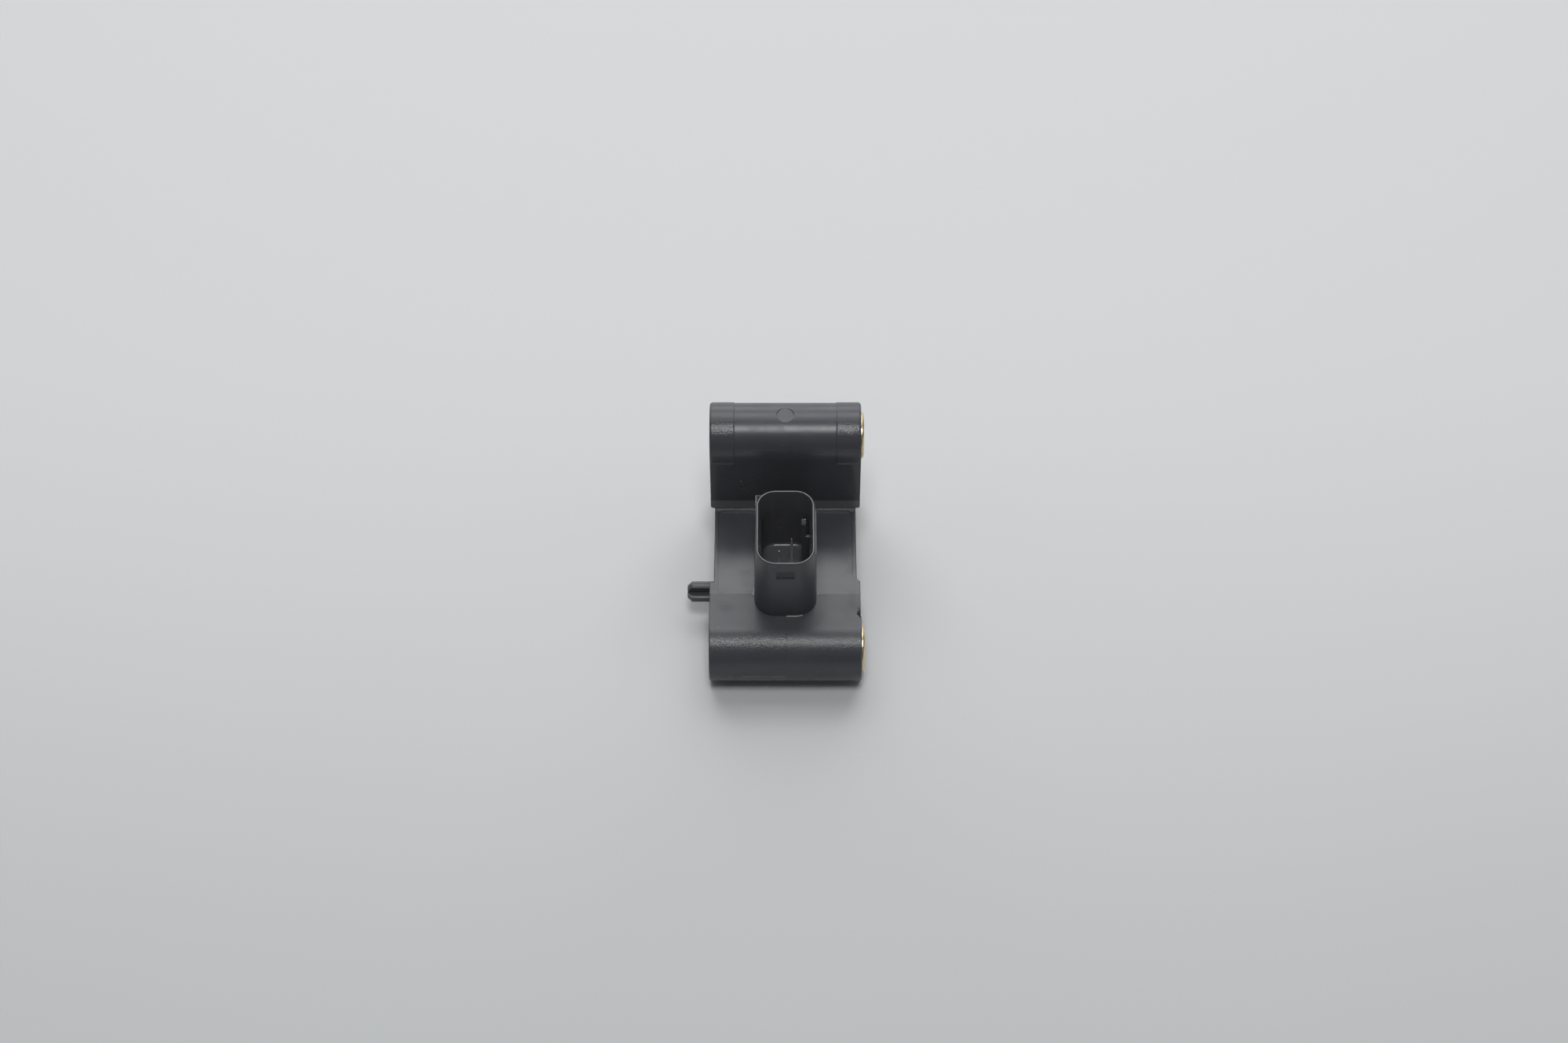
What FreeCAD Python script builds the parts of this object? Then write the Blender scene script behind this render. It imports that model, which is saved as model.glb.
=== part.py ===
import FreeCAD, Part
import math
import os

# Crash sensor for a car: a moulded body that two bolts hold against the car's structure, with a
# brass bush for each bolt, a locating pin, an upright plug socket and a sealed electronics chamber.
# Frame, in millimetres: the origin is on the lower bolt's axis, in the mounting face. +X runs along
# the bolts towards their heads, +Y towards the upper bolt and +Z up, the way the socket opens.

# Bolts, bushes and the barrels round them
bolt_hole_d = 6.6
bolt_reach = 39.8
bolt_rise = 22.9
bush_d = 10.0
bush_standout = 0.65
bush_end_chamfer = 0.35
bolt_entry_chamfer = 0.4
bush_flat_length = 8.0
bush_flat_depth = 0.5
barrel_length = 32.4
barrel_wall = 2.0
barrel_end_chamfer = 0.25
collar_length = 5.3
collar_proud = 0.12
ejector_mark_d = 3.8
ejector_mark_depth = 0.3

# Body between the barrels
side_inset = 0.95
body_edge_r = 1.0
shoulder_reach = 12.4
shoulder_corner_r = 0.8
lug_reach = 13.3
lug_end_slant = 0.7
lug_end_r = 0.4
lug_short = 0.2
lug_flat = 7.6
lug_nose_r = 1.6
flare_start = 3.9
flare_end = 1.0
flare_bulge = 0.7
wall_corner_r = 0.5
plinth_height = 2.6
plinth_foot = 0.45
panel_depth = 0.2
panel_border = 0.8
panel_front_gap = 2.15
panel_back_gap = 1.05
panel_corner_r = 1.2

# Coring at the back, under the upper barrel
core_pockets = 5
core_rib = 1.5
core_side_wall = 1.5
core_floor = 2.0
core_front_wall = 2.0

# Plug socket
socket_width = 12.45
socket_length = 19.8
socket_height = 17.5
socket_front = 3.7
socket_corner_r = 4.2
socket_wall = 1.15
socket_draft_deg = 1.4
socket_floor_rise = 0.3
rim_flat = 0.25
rim_outer_bevel = 0.2
rim_lead_in = 6.0
corner_key_drop = 1.6
corner_key_slope = 2.5
corner_key_proud = 0.1
side_pad_front = 3.1
side_pad_length = 13.4
side_pad_proud = 0.3
side_pad_ramp = 0.8
code_rib_from_wall = 0.75
code_rib_width = 0.9
code_rib_thickness = 1.0
code_rib_from_front = 13.4
code_rib_height = 14.9
code_rib_slope = 0.9
code_web_thickness = 0.7
code_web_height = 9.6
stamp_width = 3.7
stamp_height = 2.3
stamp_depth = 0.25
stamp_below_rim = 2.7

# Locating pin
pin_d = 4.7
pin_length = 4.85
pin_rib = 1.45
pin_tip_chamfer = 0.95
pin_from_lower_bolt = 15.0

# Electronics chamber and its cover
chamber_wall = 2.0
chamber_back_wall = 1.6
chamber_roof = 2.4
chamber_corner_r = 2.0
cover_thickness = 1.6
cover_sink = 0.2
cover_ledge = 1.0
cover_gap = 0.1
cover_panel_border = 3.0
cover_panel_depth = 0.4
spigot_wall = 1.0
spigot_height = 1.5
spigot_gap = 0.15

# Circuit board, the ledges that it lies against and the stakes that hold it
board_thickness = 1.6
board_gap = 0.4
board_corner = 1.4
board_standoff = 2.2
board_ledge = 1.4
stake_inset = 3.2
stake_d = 1.6
stake_gap = 0.05
stake_head_d = 2.8
stake_head_height = 0.7

# Terminals
terminal_width = 0.6
terminal_pitch = 2.65
terminal_stagger = 3.3
terminal_from_front = 12.95
terminal_height = 7.1
terminal_taper = 0.9
terminal_tip_width = 0.25
terminal_tail = 1.2
terminal_collar_width = 1.1
terminal_collar_height = 1.2
terminal_hole_d = 1.1
solder_width = 1.9
solder_tip_width = 0.8
solder_height = 0.8

# Parts on the board: length along X, width along Y, height
acceleration_chip_size = (6.0, 6.0, 1.9)
interface_chip_size = (3.9, 4.9, 1.5)
chip_lead_count = 4
chip_lead_pitch = 1.27
chip_lead_width = 0.4
chip_lead_thickness = 0.2
chip_lead_reach = 1.05
supply_capacitor_size = (3.2, 2.5, 2.2)
filter_capacitor_size = (2.0, 1.25, 1.25)
line_resistor_size = (2.0, 1.25, 0.55)
diode_size = (4.3, 2.6, 2.3)
chip_lid_border = 0.6
chip_lid_height = 0.3
end_cap_length = 0.45
end_cap_proud = 0.06
diode_tab_length = 1.2
diode_tab_width = 1.5
diode_tab_thickness = 0.25
diode_stand = 0.1
# Their places, as shares of the board's size along X and Y. The sensing chip keeps to the back edge.
acceleration_chip_share = 0.5
acceleration_chip_back_gap = 1.0
interface_chip_place = (0.19, 0.53)
supply_capacitor_place = (0.81, 0.34)
filter_capacitor_places = ((0.81, 0.53), (0.81, 0.65))
line_resistor_places = ((0.375, 0.12), (0.625, 0.12))
diode_place = (0.18, 0.18)

# Sizes that follow
barrel_r = bush_d / 2 + barrel_wall
top_z = barrel_r
base_z = -barrel_r
mid_x = barrel_length / 2
body_x = (side_inset, barrel_length - side_inset)
wall_y = bolt_reach - barrel_r
back_y = bolt_reach + barrel_r
bush_length = barrel_length + bush_standout
socket_back = socket_front + socket_length
socket_top = top_z + socket_height
socket_floor = top_z + socket_floor_rise
draft_slope = math.tan(math.radians(socket_draft_deg))
chamber_x = (body_x[0] + chamber_wall, body_x[1] - chamber_wall)
chamber_y = (barrel_r + chamber_wall, wall_y - chamber_back_wall)
ceiling_z = top_z - chamber_roof
cover_seat_z = base_z + cover_sink + cover_thickness
board_top = ceiling_z - board_standoff
board_bottom = board_top - board_thickness
board_x = (chamber_x[0] + board_gap, chamber_x[1] - board_gap)
board_y = (chamber_y[0] + board_gap, chamber_y[1] - board_gap)
terminal_mid_y = socket_front + terminal_from_front
terminal_places = [
    (mid_x - terminal_pitch / 2, terminal_mid_y - terminal_stagger / 2),
    (mid_x + terminal_pitch / 2, terminal_mid_y + terminal_stagger / 2),
]
stake_places = [
    (chamber_x[0] + stake_inset, chamber_y[1] - stake_inset),
    (chamber_x[1] - stake_inset, chamber_y[0] + stake_inset),
]
# How far a cutting shape runs past what it cuts, and the gap under which two points are one
past = 1.0
same_point = 1e-7


def vec(x, y, z):
    return FreeCAD.Vector(x, y, z)


def grown(limits, by):
    return (limits[0] - by, limits[1] + by)


def block(x, y, z):
    """Box between two limits in each direction."""
    return Part.makeBox(x[1] - x[0], y[1] - y[0], z[1] - z[0], vec(x[0], y[0], z[0]))


def rod(r, x, y, z):
    """Cylinder along X between two limits."""
    return Part.makeCylinder(r, x[1] - x[0], vec(x[0], y, z), vec(1, 0, 0))


def post(r, x, y, z):
    """Upright cylinder between two limits."""
    return Part.makeCylinder(r, z[1] - z[0], vec(x, y, z[0]), vec(0, 0, 1))


def rounded_wire(corners):
    """Closed wire through (point, radius) corners, with an arc at each corner that has a radius."""
    count = len(corners)
    entries = []
    exits = []
    arcs = []
    for i, (point, radius) in enumerate(corners):
        before = (corners[i - 1][0] - point).normalize()
        after = (corners[(i + 1) % count][0] - point).normalize()
        if radius == 0:
            entries.append(point)
            exits.append(point)
            arcs.append(None)
            continue
        half = before.getAngle(after) / 2
        cut = radius / math.tan(half)
        inward = (before + after).normalize()
        entry = point + before * cut
        leave = point + after * cut
        middle = point + inward * (radius / math.sin(half) - radius)
        entries.append(entry)
        exits.append(leave)
        arcs.append(Part.Arc(entry, middle, leave).toShape())
    edges = []
    for i in range(count):
        if arcs[i]:
            edges.append(arcs[i])
        after = entries[(i + 1) % count]
        if exits[i].distanceToPoint(after) > same_point:
            edges.append(Part.LineSegment(exits[i], after).toShape())
    return Part.Wire(edges)


def loop(x, y, z, r):
    """Level outline at height z: a rectangle with round corners."""
    corners = [(x[0], y[0]), (x[1], y[0]), (x[1], y[1]), (x[0], y[1])]
    return rounded_wire([(vec(cx, cy, z), r) for cx, cy in corners])


def slab(x, y, z, r):
    """Upright block with round corners."""
    return Part.Face(loop(x, y, z[0], r)).extrude(vec(0, 0, z[1] - z[0]))


def along_x(corners, x):
    """Solid swept along X from an outline of (y, z, radius) corners."""
    wire = rounded_wire([(vec(x[0], y, z), r) for y, z, r in corners])
    return Part.Face(wire).extrude(vec(x[1] - x[0], 0, 0))


def along_y(corners, y):
    """Solid swept along Y from an outline of (x, z, radius) corners."""
    wire = rounded_wire([(vec(x, y[0], z), r) for x, z, r in corners])
    return Part.Face(wire).extrude(vec(0, y[1] - y[0], 0))


def turned(corners, y, z):
    """Solid turned about a line along X from an outline of (x, radius) corners."""
    wire = rounded_wire([(vec(x, y + r, z), 0) for x, r in corners])
    return Part.Face(wire).revolve(vec(0, y, z), vec(1, 0, 0), 360)


def joined(shapes):
    return shapes[0].multiFuse(shapes[1:]).removeSplitter()


def barrel(y, z):
    """Round boss along a bolt, with bevelled ends."""
    bevel = barrel_end_chamfer
    return turned([
        (0, 0),
        (0, barrel_r - bevel),
        (bevel, barrel_r),
        (barrel_length - bevel, barrel_r),
        (barrel_length, barrel_r - bevel),
        (barrel_length, 0),
    ], y, z)


def collars():
    """Slightly proud bands at both ends of the upper barrel."""
    r = barrel_r + collar_proud
    near = rod(r, (barrel_end_chamfer, collar_length), bolt_reach, bolt_rise)
    far_x = (barrel_length - collar_length, barrel_length - barrel_end_chamfer)
    far = rod(r, far_x, bolt_reach, bolt_rise)
    return near.fuse(far)


def bush(y, z):
    """Turned brass sleeve with two flats that the moulding fills, so that it can't turn or slide."""
    r = bush_d / 2
    hole = bolt_hole_d / 2
    sleeve = turned([
        (0, hole),
        (0, r - bush_end_chamfer),
        (bush_end_chamfer, r),
        (bush_length - bush_end_chamfer, r),
        (bush_length, r - bush_end_chamfer),
        (bush_length, hole + bolt_entry_chamfer),
        (bush_length - bolt_entry_chamfer, hole),
    ], y, z)
    flat_x = (mid_x - bush_flat_length / 2, mid_x + bush_flat_length / 2)
    flat_z = r - bush_flat_depth
    upper = block(flat_x, (y - r, y + r), (z + flat_z, z + r + past))
    lower = block(flat_x, (y - r, y + r), (z - r - past, z - flat_z))
    return sleeve.cut([upper, lower])


def body_block():
    """Flat-bottomed block from the lower barrel to the back, with the shallow panel in its top."""
    block_shape = along_x([
        (0, base_z, 0),
        (back_y, base_z, body_edge_r),
        (back_y, top_z, 0),
        (0, top_z, 0),
    ], body_x)
    panel = slab(
        grown(body_x, -panel_border),
        (barrel_r + panel_front_gap, wall_y - panel_back_gap),
        (top_z - panel_depth, top_z + past),
        panel_corner_r,
    )
    return block_shape.cut(panel)


def shoulders():
    """Wider part of the body next to the lower barrel, different at its two ends."""
    mounting_end = slab(
        (0, mid_x), (-barrel_r, shoulder_reach), (base_z, top_z), shoulder_corner_r
    ).common(block((0, body_x[0] + panel_border), (0, shoulder_reach), (base_z, top_z)))
    lug_front = lug_reach - lug_flat - lug_nose_r
    lug_x = barrel_length - lug_short
    lug_plan = rounded_wire([
        (vec(mid_x, lug_front, base_z), 0),
        (vec(lug_x, lug_front, base_z), 0),
        (vec(lug_x, lug_reach - lug_end_slant, base_z), lug_end_r),
        (vec(body_x[1], lug_reach, base_z), 0),
        (vec(mid_x, lug_reach, base_z), 0),
    ])
    lug = along_x([
        (lug_front, base_z, 0),
        (lug_reach, base_z, 0),
        (lug_reach, top_z, 0),
        (lug_front, top_z, lug_nose_r),
    ], (mid_x, lug_x)).common(Part.Face(lug_plan).extrude(vec(0, 0, top_z - base_z)))
    start = vec(body_x[1], flare_start, base_z)
    end = vec(barrel_length, flare_end, base_z)
    bulge = vec(body_x[1] + flare_bulge, (flare_start + flare_end) / 2, base_z)
    corner = vec(barrel_length, 0, base_z)
    inner = vec(mid_x, 0, base_z)
    inner_back = vec(mid_x, flare_start, base_z)
    plan = Part.Wire([
        Part.LineSegment(inner_back, start).toShape(),
        Part.Arc(start, bulge, end).toShape(),
        Part.LineSegment(end, corner).toShape(),
        Part.LineSegment(corner, inner).toShape(),
        Part.LineSegment(inner, inner_back).toShape(),
    ])
    flare = Part.Face(plan).extrude(vec(0, 0, top_z - base_z))
    return mounting_end.fuse(lug).fuse(flare)


def upper_pillar():
    """Wall that carries the upper barrel, cored from the back, with a sloping foot in front."""
    front_view = [
        (0, top_z, wall_corner_r),
        (barrel_length, top_z, wall_corner_r),
        (barrel_length, bolt_rise, 0),
        (0, bolt_rise, 0),
    ]
    wall = along_y(front_view, (wall_y, back_y))
    foot = along_x([
        (wall_y, top_z + plinth_height, 0),
        (wall_y - plinth_foot, top_z, 0),
        (wall_y + past, top_z, 0),
        (wall_y + past, top_z + plinth_height, 0),
    ], (0, barrel_length)).common(along_y(front_view, (wall_y - past, wall_y + past)))
    return wall.fuse(foot)


def core_cuts():
    """Row of pockets open to the back, so that the moulding has an even wall."""
    inner_x = grown(body_x, -core_side_wall)
    pocket = (inner_x[1] - inner_x[0] - (core_pockets - 1) * core_rib) / core_pockets
    cuts = []
    for i in range(core_pockets):
        start = inner_x[0] + i * (pocket + core_rib)
        cuts.append(block(
            (start, start + pocket),
            (wall_y + core_front_wall, back_y + past),
            (base_z + core_floor, bolt_rise),
        ))
    return cuts


def socket_outline(z, inset):
    """Outer outline of the socket at height z, with its draft, moved in by a wall."""
    spread = (socket_top - z) * draft_slope - inset
    return loop(
        grown((mid_x - socket_width / 2, mid_x + socket_width / 2), spread),
        grown((socket_front, socket_back), spread),
        z,
        socket_corner_r + spread,
    )


def socket_shell():
    """Outside of the socket: drafted shroud, keyed corner with a sloping top and raised side pad."""
    shroud = Part.makeLoft([
        socket_outline(top_z - panel_depth, 0),
        socket_outline(socket_top - rim_outer_bevel, 0),
        socket_outline(socket_top, rim_outer_bevel),
    ], True, True)
    left = mid_x - socket_width / 2
    right = mid_x + socket_width / 2
    rise = (top_z - panel_depth, socket_top - corner_key_drop)
    corner_key = along_x([
        (socket_back - socket_corner_r, rise[0], 0),
        (socket_back, rise[0], 0),
        (socket_back, rise[1], 0),
        (socket_back - socket_corner_r, rise[1] - corner_key_slope, 0),
    ], (left - corner_key_proud, left + socket_corner_r))
    pad_start = socket_front + side_pad_front
    pad_end = pad_start + side_pad_length
    pad_root = right - socket_wall / 2
    pad_face = right + side_pad_proud
    pad_plan = rounded_wire([
        (vec(pad_root, pad_start - side_pad_ramp, rise[0]), 0),
        (vec(pad_face, pad_start + side_pad_ramp, rise[0]), 0),
        (vec(pad_face, pad_end - side_pad_ramp, rise[0]), 0),
        (vec(pad_root, pad_end + side_pad_ramp, rise[0]), 0),
    ])
    side_pad = Part.Face(pad_plan).extrude(vec(0, 0, rise[1] - rise[0]))
    stamp_top = socket_top - stamp_below_rim
    face_y = socket_front - stamp_below_rim * draft_slope
    stamp = block(
        (mid_x - stamp_width / 2, mid_x + stamp_width / 2),
        (face_y - past, face_y + stamp_depth),
        (stamp_top - stamp_height, stamp_top),
    )
    return shroud.fuse(corner_key).fuse(side_pad).cut(stamp)


def socket_cavity():
    """Inside of the socket, with a long lead-in at the mouth, round the coding rib."""
    x = (mid_x - socket_width / 2, mid_x + socket_width / 2)
    y = (socket_front, socket_back)
    well = slab(
        grown(x, -socket_wall),
        grown(y, -socket_wall),
        (socket_floor, socket_top + past),
        socket_corner_r - socket_wall,
    )
    lip = rim_flat + rim_outer_bevel
    mouth = Part.makeLoft([
        loop(grown(x, -socket_wall), grown(y, -socket_wall), socket_top - rim_lead_in,
             socket_corner_r - socket_wall),
        loop(grown(x, -lip), grown(y, -lip), socket_top, socket_corner_r - lip),
    ], True, True)
    wall_x = mid_x + socket_width / 2 - socket_wall
    rib_x = (wall_x - code_rib_from_wall - code_rib_width, wall_x - code_rib_from_wall)
    rib_mid = socket_front + code_rib_from_front
    rib_y = (rib_mid - code_rib_thickness / 2, rib_mid + code_rib_thickness / 2)
    rib_top = socket_floor + code_rib_height
    rib = along_x([
        (rib_y[0], socket_floor, 0),
        (rib_y[1], socket_floor, 0),
        (rib_y[1], rib_top, 0),
        (rib_y[0], rib_top - code_rib_slope, 0),
    ], rib_x)
    web = block(
        (rib_x[1], wall_x + past),
        (rib_mid - code_web_thickness / 2, rib_mid + code_web_thickness / 2),
        (socket_floor, socket_floor + code_web_height),
    )
    return well.fuse(mouth).cut(rib.fuse(web))


def locating_pin():
    """Pin beside the mounting face: two crossed ribs inside a round outline, with a bevelled tip."""
    r = pin_d / 2
    envelope = turned([
        (body_x[0] + chamber_wall / 2, 0),
        (body_x[0] + chamber_wall / 2, r),
        (-pin_length + pin_tip_chamfer, r),
        (-pin_length, r - pin_tip_chamfer),
        (-pin_length, 0),
    ], pin_from_lower_bolt, 0)
    reach_x = (-pin_length - past, body_x[0] + chamber_wall)
    across = (pin_from_lower_bolt - pin_d, pin_from_lower_bolt + pin_d)
    along = (pin_from_lower_bolt - pin_rib / 2, pin_from_lower_bolt + pin_rib / 2)
    upright = block(reach_x, along, (-pin_d, pin_d))
    level = block(reach_x, across, (-pin_rib / 2, pin_rib / 2))
    return envelope.common(upright.fuse(level))


def chamber_cut():
    """Room for the electronics, open below, with the ledge that the cover is welded to."""
    room = slab(chamber_x, chamber_y, (base_z - past, ceiling_z), chamber_corner_r)
    mouth = slab(
        grown(chamber_x, cover_ledge),
        grown(chamber_y, cover_ledge),
        (base_z - past, cover_seat_z),
        chamber_corner_r + cover_ledge,
    )
    return room.fuse(mouth)


def board_supports():
    """Ledges along two walls, and stakes whose heads are formed over once the board is on."""
    buried = chamber_roof / 2
    rise = (board_top, ceiling_z + buried)
    supports = [
        block((chamber_x[0] - buried, chamber_x[0] + board_ledge), chamber_y, rise),
        block((chamber_x[1] - board_ledge, chamber_x[1] + buried), chamber_y, rise),
    ]
    for x, y in stake_places:
        shank = post(stake_d / 2, x, y, (board_bottom, ceiling_z + buried))
        head = post(stake_head_d / 2, x, y, (board_bottom - stake_head_height, board_bottom))
        supports.append(shank.fuse(head))
    return supports


def tapered_post(place, z, width, end_width):
    """Square post between two heights that narrows towards the second one."""
    height = abs(z[1] - z[0])
    half = width / 2
    end_half = end_width / 2
    shape = Part.makeWedge(
        -half, 0, -half, -end_half, -end_half, half, height, half, end_half, end_half
    )
    quarter_turn = 90 if z[1] > z[0] else -90
    shape.rotate(vec(0, 0, 0), vec(1, 0, 0), quarter_turn)
    shape.translate(vec(place[0], place[1], z[0]))
    return shape


def terminal(place):
    """Square contact pin with a pointed tip, a collar in the moulding and a tail in the board."""
    x, y = place
    half = terminal_width / 2
    tip_z = socket_floor + terminal_height
    taper_z = tip_z - terminal_taper
    shank = block(
        (x - half, x + half), (y - half, y + half), (board_bottom - terminal_tail, taper_z)
    )
    tip = tapered_post(place, (taper_z, tip_z), terminal_width, terminal_tip_width)
    collar_mid = (ceiling_z + socket_floor) / 2
    collar = block(
        (x - terminal_collar_width / 2, x + terminal_collar_width / 2),
        (y - half, y + half),
        (collar_mid - terminal_collar_height / 2, collar_mid + terminal_collar_height / 2),
    )
    return joined([shank, tip, collar])


def solder_joint(place, pin):
    """Solder under the board, drawn up round the terminal's tail."""
    rise = (board_bottom, board_bottom - solder_height)
    return tapered_post(place, rise, solder_width, solder_tip_width).cut(pin)


def circuit_board():
    """Board with the holes for the stakes and the terminals."""
    left, right = board_x
    front, back = board_y
    inner_x = grown(board_x, -board_corner)
    inner_y = grown(board_y, -board_corner)
    corners = [
        (inner_x[0], front), (inner_x[1], front), (right, inner_y[0]), (right, inner_y[1]),
        (inner_x[1], back), (inner_x[0], back), (left, inner_y[1]), (left, inner_y[0]),
    ]
    outline = rounded_wire([(vec(x, y, board_bottom), 0) for x, y in corners])
    plate = Part.Face(outline).extrude(vec(0, 0, board_thickness))
    holes = [
        post(stake_d / 2 + stake_gap, x, y, (board_bottom - past, board_top + past))
        for x, y in stake_places
    ]
    holes += [
        post(terminal_hole_d / 2, x, y, (board_bottom - past, board_top + past))
        for x, y in terminal_places
    ]
    return plate.cut(holes)


def around(place, size):
    """Limits in x and y of something of a size, centred on a place on the board."""
    x = board_x[0] + place[0] * (board_x[1] - board_x[0])
    y = board_y[0] + place[1] * (board_y[1] - board_y[0])
    return (x - size[0] / 2, x + size[0] / 2), (y - size[1] / 2, y + size[1] / 2)


def acceleration_chip():
    """Sensing element in a flat package with a lid."""
    from_back = acceleration_chip_back_gap + acceleration_chip_size[1] / 2
    back_share = 1 - from_back / (board_y[1] - board_y[0])
    x, y = around((acceleration_chip_share, back_share), acceleration_chip_size)
    low = board_bottom - acceleration_chip_size[2]
    case = block(x, y, (low + chip_lid_height, board_bottom))
    lid_z = (low, low + chip_lid_height)
    lid = block(grown(x, -chip_lid_border), grown(y, -chip_lid_border), lid_z)
    return case.fuse(lid)


def capped_part(place, size):
    """Ceramic block with a metal cap on each end, soldered under the board."""
    x, y = around(place, size)
    z = (board_bottom - size[2], board_bottom)
    body_z = grown(z, -end_cap_proud)
    body = block(grown(x, -end_cap_length), grown(y, -end_cap_proud), body_z)
    near_cap = block((x[0], x[0] + end_cap_length), y, z)
    far_cap = block((x[1] - end_cap_length, x[1]), y, z)
    return joined([body, near_cap, far_cap])


def protection_diode():
    """Moulded diode on two flat tabs."""
    x, y = around(diode_place, diode_size)
    case = block(x, y, (board_bottom - diode_size[2], board_bottom - diode_stand))
    mid_y = sum(y) / 2
    tab_y = (mid_y - diode_tab_width / 2, mid_y + diode_tab_width / 2)
    tab_z = (board_bottom - diode_tab_thickness, board_bottom)
    reach = diode_tab_length / 2
    tabs = [block((end - reach, end + reach), tab_y, tab_z) for end in x]
    return joined([case] + tabs)


def interface_chip():
    """Small chip with a row of bent leads on two sides."""
    x, y = around(interface_chip_place, interface_chip_size)
    height = interface_chip_size[2]
    thick = chip_lead_thickness
    pieces = [block(x, y, (board_bottom - height, board_bottom - thick / 2))]
    knee_z = board_bottom - height / 2
    middle = sum(y) / 2
    for root, side in ((x[0], -1), (x[1], 1)):
        buried = root - side * thick
        knee = root + side * chip_lead_reach / 2
        inner = knee - side * thick / 2
        outer = knee + side * thick / 2
        toe = root + side * chip_lead_reach
        for i in range(chip_lead_count):
            lead_y = middle + (i - (chip_lead_count - 1) / 2) * chip_lead_pitch
            pieces.append(along_y([
                (buried, knee_z - thick, 0),
                (outer, knee_z - thick, 0),
                (outer, board_bottom - thick, 0),
                (toe, board_bottom - thick, 0),
                (toe, board_bottom, 0),
                (inner, board_bottom, 0),
                (inner, knee_z, 0),
                (buried, knee_z, 0),
            ], (lead_y - chip_lead_width / 2, lead_y + chip_lead_width / 2)))
    return joined(pieces)


def bottom_cover():
    """Welded cover: a plate on the ledge, with a spigot inside the chamber and a sunk panel outside."""
    outer_z = base_z + cover_sink
    plate = slab(
        grown(chamber_x, cover_ledge - cover_gap),
        grown(chamber_y, cover_ledge - cover_gap),
        (outer_z, cover_seat_z),
        chamber_corner_r + cover_ledge - cover_gap,
    )
    spigot = slab(
        grown(chamber_x, -spigot_gap),
        grown(chamber_y, -spigot_gap),
        (cover_seat_z - past, cover_seat_z + spigot_height),
        chamber_corner_r - spigot_gap,
    )
    hollow = slab(
        grown(chamber_x, -spigot_gap - spigot_wall),
        grown(chamber_y, -spigot_gap - spigot_wall),
        (cover_seat_z, cover_seat_z + spigot_height + past),
        0,
    )
    panel = slab(
        grown(chamber_x, cover_ledge - cover_gap - cover_panel_border),
        grown(chamber_y, cover_ledge - cover_gap - cover_panel_border),
        (outer_z - past, outer_z + cover_panel_depth),
        chamber_corner_r,
    )
    return plate.fuse(spigot).cut(hollow).cut(panel).removeSplitter()


def housing(inserts):
    """The moulding, formed round its bushes and terminals."""
    frame = joined([body_block(), shoulders(), upper_pillar(), socket_shell()])
    frame = frame.cut(core_cuts())
    frame = joined([frame, barrel(0, 0), barrel(bolt_reach, bolt_rise), collars(), locating_pin()])
    crest_z = bolt_rise + barrel_r
    mark = post(
        ejector_mark_d / 2, mid_x, bolt_reach, (crest_z - ejector_mark_depth, crest_z + past)
    )
    frame = frame.cut([chamber_cut(), socket_cavity(), mark])
    frame = joined([frame] + board_supports())
    bolt_span = (-past, bush_length + past)
    bolt_paths = [
        rod(bolt_hole_d / 2, bolt_span, 0, 0),
        rod(bolt_hole_d / 2, bolt_span, bolt_reach, bolt_rise),
    ]
    return frame.cut(bolt_paths + inserts).removeSplitter()


lower_bush = bush(0, 0)
upper_bush = bush(bolt_reach, bolt_rise)
left_terminal, right_terminal = [terminal(place) for place in terminal_places]
solder_joints = Part.makeCompound([
    solder_joint(place, pin)
    for place, pin in zip(terminal_places, (left_terminal, right_terminal))
])
nodes = {
    "housing": housing([lower_bush, upper_bush, left_terminal, right_terminal]),
    "bottom_cover": bottom_cover(),
    "lower_bush": lower_bush,
    "upper_bush": upper_bush,
    "left_terminal": left_terminal,
    "right_terminal": right_terminal,
    "circuit_board": circuit_board(),
    "solder_joints": solder_joints,
    "acceleration_chip": acceleration_chip(),
    "interface_chip": interface_chip(),
    "supply_capacitor": capped_part(supply_capacitor_place, supply_capacitor_size),
    "filter_capacitors": Part.makeCompound([
        capped_part(place, filter_capacitor_size) for place in filter_capacitor_places
    ]),
    "line_resistors": Part.makeCompound([
        capped_part(place, line_resistor_size) for place in line_resistor_places
    ]),
    "protection_diode": protection_diode(),
}

os.makedirs("parts", exist_ok=True)
for name, shape in nodes.items():
    shape.exportStep("parts/" + name + ".step")
    print(name, "solids", len(shape.Solids), "valid", shape.isValid(), "volume %.1f" % shape.Volume)
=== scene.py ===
# %% [markdown]
# # A crash sensor from a car
# The object is a dark moulded block, about as long as a thumb, that is bolted behind a bumper. Two brass
# bushes take the bolts, and an upright socket takes the plug. The packed CAD part is the fixed frame of this
# lesson: its solids give every size, and the script adds soft edges, flash lines, finishes and light. Places
# and lengths on the part are written in millimetres, and become Blender's metres where they are used.

import functools
import math

import bmesh
import bpy
from mathutils import Matrix, Vector


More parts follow.
